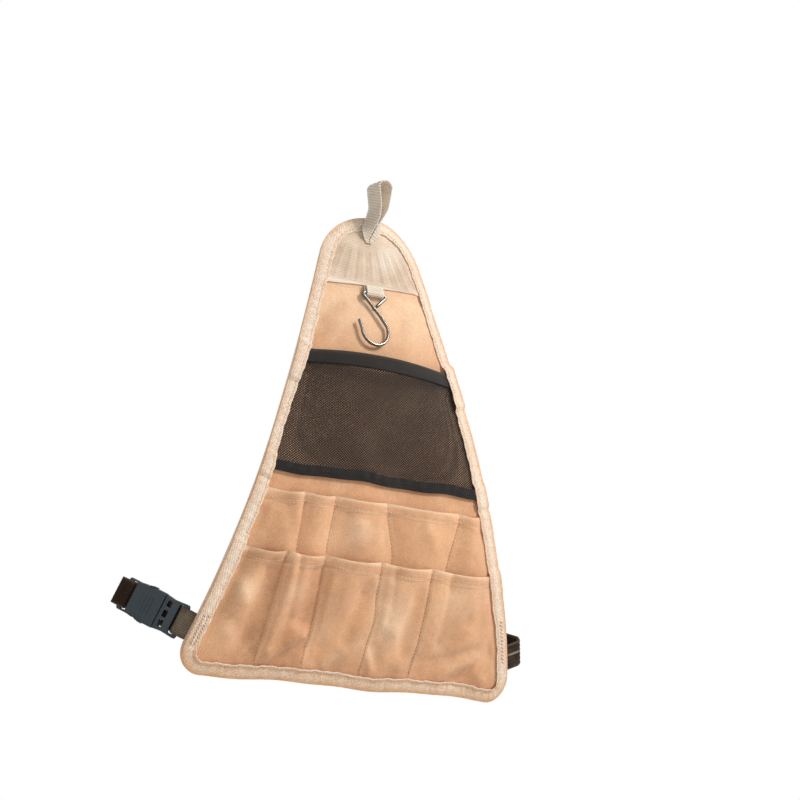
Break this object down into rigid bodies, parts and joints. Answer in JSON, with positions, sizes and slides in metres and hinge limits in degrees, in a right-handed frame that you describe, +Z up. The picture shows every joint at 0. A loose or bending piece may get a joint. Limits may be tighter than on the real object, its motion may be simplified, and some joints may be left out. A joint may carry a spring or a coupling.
{
  "type": "hanging utensil organiser",
  "caption": "Domed canvas camp utensil organiser hung from a webbing loop, with net and canvas pockets, a wire hook, and side straps with side-release buckles that close round poles.",
  "frame": {"origin": "inside top of the hanging loop, where the bag hangs on its hook or bar", "axes": "+Z up, -Y towards the front with the pockets, +X to the right of someone who faces the front"},
  "size_m": [0.4248, 0.119, 0.4755],
  "materials": {
    "canvas": "woven canvas, sand colour",
    "binding": "pale woven tape",
    "patch": "ribbed canvas",
    "loop_webbing": "grey-beige webbing",
    "net": "black net",
    "net_tape": "black grosgrain tape",
    "strap_webbing": "black webbing with a slight sheen",
    "buckle": "black moulded plastic",
    "wire": "polished steel wire"
  },
  "bodies": {
    "bag": {"back_panel": "canvas", "edge_binding": "binding", "top_patch": "patch", "hanging_loop": "loop_webbing", "hook_tab": "loop_webbing", "mesh_pocket": "net", "mesh_top_band": "net_tape", "mesh_bottom_band": "net_tape", "upper_pocket": "canvas", "lower_pocket": "canvas", "left_anchor_webbing": "strap_webbing", "left_buckle_frame": "buckle", "left_buckle_socket": "buckle", "left_pole_strap": "strap_webbing", "right_anchor_webbing": "strap_webbing", "right_buckle_frame": "buckle", "right_buckle_socket": "buckle", "right_pole_strap": "strap_webbing"},
    "hook": {"wire_hook": "wire"},
    "left_upper_arm": {"left_latch_arm_upper": "buckle"},
    "left_lower_arm": {"left_latch_arm_lower": "buckle"},
    "right_upper_arm": {"right_latch_arm_upper": "buckle"},
    "right_lower_arm": {"right_latch_arm_lower": "buckle"}
  },
  "joints": [
    {"name": "hook_swing", "type": "hinge", "parent": "bag", "child": "hook", "pos_m": [-0.005, -0.00639, -0.10988], "axis": [-1, 0, 0], "range_deg": [0, 100]},
    {"name": "left_latch_upper", "type": "hinge", "parent": "bag", "child": "left_upper_arm", "pos_m": [-0.18641, 0.02526, -0.41204], "axis": [-0.7, -0.714, -0.017], "range_deg": [0, 13], "stiffness_Nm_per_rad": 0.6},
    {"name": "left_latch_lower", "type": "hinge", "parent": "bag", "child": "left_lower_arm", "pos_m": [-0.19249, 0.03167, -0.43103], "axis": [0.7, 0.714, 0.017], "range_deg": [0, 13], "stiffness_Nm_per_rad": 0.6},
    {"name": "right_latch_upper", "type": "hinge", "parent": "bag", "child": "right_upper_arm", "pos_m": [0.16825, 0.0349, -0.4146], "axis": [-0.9394, 0.2718, -0.2089], "range_deg": [0, 13], "stiffness_Nm_per_rad": 0.6},
    {"name": "right_latch_lower", "type": "hinge", "parent": "bag", "child": "right_lower_arm", "pos_m": [0.17432, 0.04131, -0.43359], "axis": [0.9394, -0.2718, 0.2089], "range_deg": [0, 13], "stiffness_Nm_per_rad": 0.6}
  ],
  "couplings": [
    {"joint": "left_latch_lower", "follows": "left_latch_upper", "ratio": 1},
    {"joint": "right_latch_lower", "follows": "right_latch_upper", "ratio": 1}
  ]
}
